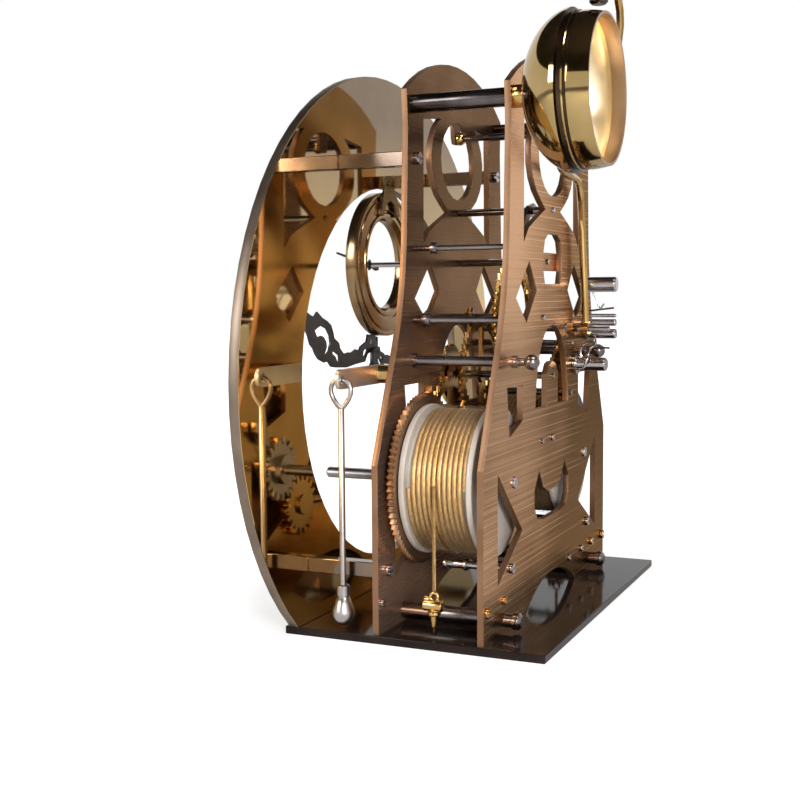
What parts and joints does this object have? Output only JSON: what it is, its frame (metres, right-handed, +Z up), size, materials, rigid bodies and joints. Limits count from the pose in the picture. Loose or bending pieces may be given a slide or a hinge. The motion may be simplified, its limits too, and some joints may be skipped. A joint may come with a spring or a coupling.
{
  "type": "floor clock movement",
  "caption": "Cable-driven skeleton floor clock movement with pierced brass plates, open round dial plate, hands, wound cable drums, bell and hammer, on a flat black board.",
  "frame": {"origin": "on the board's underside, half-way between the two movement plates and on the middle plane between left and right", "axes": "+Z up, the dial faces -Y, the bell is behind at +Y, +X is on the right seen from the dial side"},
  "size_m": [0.247, 0.1178, 0.2447],
  "materials": {
    "black_board": "black mirror-polished board",
    "plate_brass": "brushed rosy brass, lines running level",
    "dial_brass": "polished brass, mirror back",
    "bell_brass": "polished brass, spun",
    "gold_brass": "polished brass",
    "cable_brass": "stranded brass cable",
    "polished_steel": "polished steel",
    "dark_steel": "dark polished steel",
    "pale_plastic": "pale translucent plastic",
    "black_hands": "black lacquer"
  },
  "bodies": {
    "frame": {"base_board": "black_board", "front_plate": "plate_brass", "back_plate": "plate_brass", "dial_plate": "dial_brass", "seconds_ring": "dial_brass", "dial_foot_upper_r": "gold_brass", "dial_foot_upper_l": "gold_brass", "dial_foot_lower_r": "gold_brass", "dial_foot_lower_l": "gold_brass", "top_pillar_r": "dark_steel", "top_pillar_l": "dark_steel", "mid_pillar_r": "polished_steel", "mid_pillar_l": "polished_steel", "bottom_pillar_r": "polished_steel", "bottom_pillar_l": "polished_steel", "upper_stay": "polished_steel", "lower_stay": "polished_steel", "drum_stay_r": "polished_steel", "drum_stay_l": "polished_steel", "escape_cock": "plate_brass", "lever_post": "polished_steel", "bell": "bell_brass", "bell_post": "gold_brass", "hammer_stop": "polished_steel", "spring_post": "polished_steel", "lower_post": "polished_steel", "hammer_spring": "polished_steel", "cable_drop_r": "cable_brass", "cable_hook_r": "gold_brass", "cable_drop_l": "cable_brass", "cable_hook_l": "gold_brass"},
    "barrel_r": {"drum_r": "pale_plastic", "cable_r": "cable_brass", "winding_arbor_r": "polished_steel"},
    "barrel_l": {"drum_l": "pale_plastic", "cable_l": "cable_brass", "winding_arbor_l": "polished_steel"},
    "great_r": {"great_wheel_r": "gold_brass"},
    "great_l": {"great_wheel_l": "gold_brass"},
    "second": {"second_wheel": "gold_brass"},
    "centre": {"centre_wheel": "gold_brass", "minute_hand": "black_hands"},
    "hour": {"hour_wheel": "gold_brass", "hour_hand": "black_hands"},
    "third": {"third_wheel": "gold_brass"},
    "escape": {"escape_wheel": "gold_brass", "seconds_hand": "black_hands"},
    "anchor": {"anchor": "polished_steel"},
    "pins": {"pin_wheel": "gold_brass"},
    "warning": {"warning_wheel": "gold_brass"},
    "fly": {"fly": "gold_brass"},
    "hammer": {"hammer_arbor": "polished_steel", "hammer_arm": "gold_brass", "hammer_head": "dark_steel"},
    "stop_r": {"stop_wheel_r": "gold_brass"},
    "stop_l": {"stop_wheel_l": "gold_brass"},
    "click_r": {"click_r": "polished_steel"},
    "click_l": {"click_l": "polished_steel"},
    "lever": {"repeat_lever": "polished_steel"},
    "rod": {"pull_rod": "polished_steel"}
  },
  "joints": [
    {"name": "third_spin", "type": "hinge", "parent": "frame", "child": "third", "pos_m": [0.01263, 0, 0.11786], "axis": [0, 1, 0], "continuous": true},
    {"name": "great_r_spin", "type": "hinge", "parent": "frame", "child": "great_r", "pos_m": [0.04802, 0, 0.05696], "axis": [0, 1, 0], "continuous": true},
    {"name": "second_spin", "type": "hinge", "parent": "frame", "child": "second", "pos_m": [0.01403, 0, 0.0688], "axis": [0, 1, 0], "continuous": true},
    {"name": "centre_spin", "type": "hinge", "parent": "frame", "child": "centre", "pos_m": [0, 0, 0.094], "axis": [0, 1, 0], "continuous": true},
    {"name": "hour_spin", "type": "hinge", "parent": "frame", "child": "hour", "pos_m": [0, 0, 0.094], "axis": [0, 1, 0], "continuous": true},
    {"name": "escape_spin", "type": "hinge", "parent": "frame", "child": "escape", "pos_m": [0, 0, 0.14001], "axis": [0, 1, 0], "continuous": true},
    {"name": "warning_spin", "type": "hinge", "parent": "frame", "child": "warning", "pos_m": [-0.02744, 0, 0.10605], "axis": [0, 1, 0], "continuous": true},
    {"name": "great_l_spin", "type": "hinge", "parent": "frame", "child": "great_l", "pos_m": [-0.04802, 0, 0.05696], "axis": [0, 1, 0], "continuous": true},
    {"name": "pin_spin", "type": "hinge", "parent": "frame", "child": "pins", "pos_m": [-0.02561, 0, 0.08514], "axis": [0, 1, 0], "continuous": true},
    {"name": "fly_spin", "type": "hinge", "parent": "frame", "child": "fly", "pos_m": [-0.01856, 0, 0.11351], "axis": [0, 1, 0], "continuous": true},
    {"name": "winding_r_spin", "type": "hinge", "parent": "frame", "child": "barrel_r", "pos_m": [0.04802, 0, 0.05696], "axis": [0, 1, 0], "continuous": true},
    {"name": "stop_r_spin", "type": "hinge", "parent": "frame", "child": "stop_r", "pos_m": [0.03192, 0, 0.03999], "axis": [0, 1, 0], "continuous": true},
    {"name": "winding_l_spin", "type": "hinge", "parent": "frame", "child": "barrel_l", "pos_m": [-0.04802, 0, 0.05696], "axis": [0, 1, 0], "continuous": true},
    {"name": "stop_l_spin", "type": "hinge", "parent": "frame", "child": "stop_l", "pos_m": [-0.03192, 0, 0.03999], "axis": [0, 1, 0], "continuous": true},
    {"name": "anchor_rock", "type": "hinge", "parent": "frame", "child": "anchor", "pos_m": [0, 0, 0.16066], "axis": [0, 1, 0], "range_deg": [-2, 2]},
    {"name": "hammer_lift", "type": "hinge", "parent": "frame", "child": "hammer", "pos_m": [-0.037, 0, 0.112], "axis": [0, -1, 0], "range_deg": [0, 16]},
    {"name": "click_r_lift", "type": "hinge", "parent": "frame", "child": "click_r", "pos_m": [0.063, 0, 0.0732], "axis": [0, -1, 0], "range_deg": [0, 12], "stiffness_Nm_per_rad": 0.02},
    {"name": "click_l_lift", "type": "hinge", "parent": "frame", "child": "click_l", "pos_m": [-0.063, 0, 0.0732], "axis": [0, 1, 0], "range_deg": [0, 12], "stiffness_Nm_per_rad": 0.02},
    {"name": "lever_lift", "type": "hinge", "parent": "frame", "child": "lever", "pos_m": [0.047, 0, 0.0965], "axis": [0, -1, 0], "range_deg": [0, 10]},
    {"name": "rod_hang", "type": "hinge", "parent": "lever", "child": "rod", "pos_m": [0.0795, -0.0346, 0.0965], "axis": [0, -1, 0], "range_deg": [-10, 0]}
  ],
  "couplings": [
    {"joint": "escape_spin", "follows": "third_spin", "ratio": -7.5},
    {"joint": "centre_spin", "follows": "third_spin", "ratio": -0.125},
    {"joint": "hour_spin", "follows": "third_spin", "ratio": -0.010417},
    {"joint": "second_spin", "follows": "third_spin", "ratio": 0.020833},
    {"joint": "great_r_spin", "follows": "third_spin", "ratio": -0.0026042},
    {"joint": "pin_spin", "follows": "warning_spin", "ratio": -0.16667},
    {"joint": "great_l_spin", "follows": "warning_spin", "ratio": 0.020833},
    {"joint": "fly_spin", "follows": "warning_spin", "ratio": -3},
    {"joint": "stop_r_spin", "follows": "winding_r_spin", "ratio": -1},
    {"joint": "stop_l_spin", "follows": "winding_l_spin", "ratio": -1},
    {"joint": "rod_hang", "follows": "lever_lift", "ratio": -1}
  ]
}
